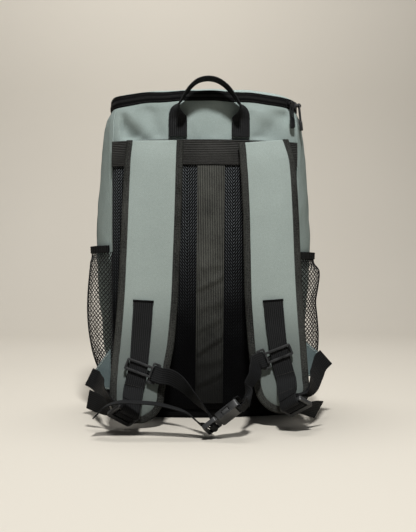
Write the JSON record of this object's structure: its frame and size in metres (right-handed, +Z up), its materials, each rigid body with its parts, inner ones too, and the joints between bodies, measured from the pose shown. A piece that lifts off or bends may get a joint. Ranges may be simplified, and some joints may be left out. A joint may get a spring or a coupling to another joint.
{
  "type": "backpack",
  "caption": "Box-shaped fabric backpack standing upright, with a zipped lid, net side pockets, padded shoulder straps, a grab handle and a fastened sternum strap.",
  "frame": {"origin": "middle of the flat underside of the base, on the surface that the pack stands on", "axes": "+Z up, -Y towards the wearer's back (the strap side), +X to the right when looking at the strap side"},
  "size_m": [0.3316, 0.3008, 0.4393],
  "materials": {
    "body_cloth": "grey-green woven polyester, matt",
    "strap_cloth": "grey-green woven polyester over foam, matt",
    "black_cloth": "black woven cloth, matt",
    "air_mesh": "black spacer mesh over foam",
    "webbing": "black ribbed webbing, slight sheen",
    "binding": "black woven edge binding",
    "net": "black open net",
    "plastic": "moulded black acetal, satin",
    "slider_metal": "black painted zinc, satin"
  },
  "bodies": {
    "pack": {"body_shell": "body_cloth", "base_panel": "black_cloth", "base_band": "black_cloth", "lid": "body_cloth", "zip_tape_body": "black_cloth", "zip_tape_lid": "black_cloth", "back_pad": "air_mesh", "spine_band": "webbing", "yoke_band": "webbing", "grab_handle": "webbing", "shoulder_strap_left": "strap_cloth", "shoulder_strap_right": "strap_cloth", "strap_binding_left": "binding", "strap_binding_right": "binding", "strap_webbing_left": "webbing", "strap_webbing_right": "webbing", "lower_webbing_left": "webbing", "lower_webbing_right": "webbing", "ladder_lock_left": "plastic", "ladder_lock_right": "plastic", "corner_tab_left": "body_cloth", "corner_tab_right": "body_cloth", "sternum_slider_left": "plastic", "sternum_slider_right": "plastic", "buckle_plug": "plastic", "buckle_socket": "plastic", "sternum_strap_left": "webbing", "sternum_strap_right": "webbing", "side_pocket_left": "net", "side_pocket_right": "net", "pocket_hem_left": "webbing", "pocket_hem_right": "webbing", "zip_slider_back": "slider_metal", "zip_slider_side": "slider_metal"},
    "zip_pull_back": {"zip_pull_back": "plastic"},
    "zip_pull_side": {"zip_pull_side": "plastic"}
  },
  "joints": [
    {"name": "zip_pull_back_swing", "type": "hinge", "parent": "pack", "child": "zip_pull_back", "pos_m": [0.1152, -0.05984, 0.41503], "axis": [-0.9348, -0.3551, 0], "range_deg": [0, 115]},
    {"name": "zip_pull_side_swing", "type": "hinge", "parent": "pack", "child": "zip_pull_side", "pos_m": [0.12674, -0.04977, 0.41394], "axis": [-0.3333, -0.9428, 0], "range_deg": [0, 115]}
  ]
}
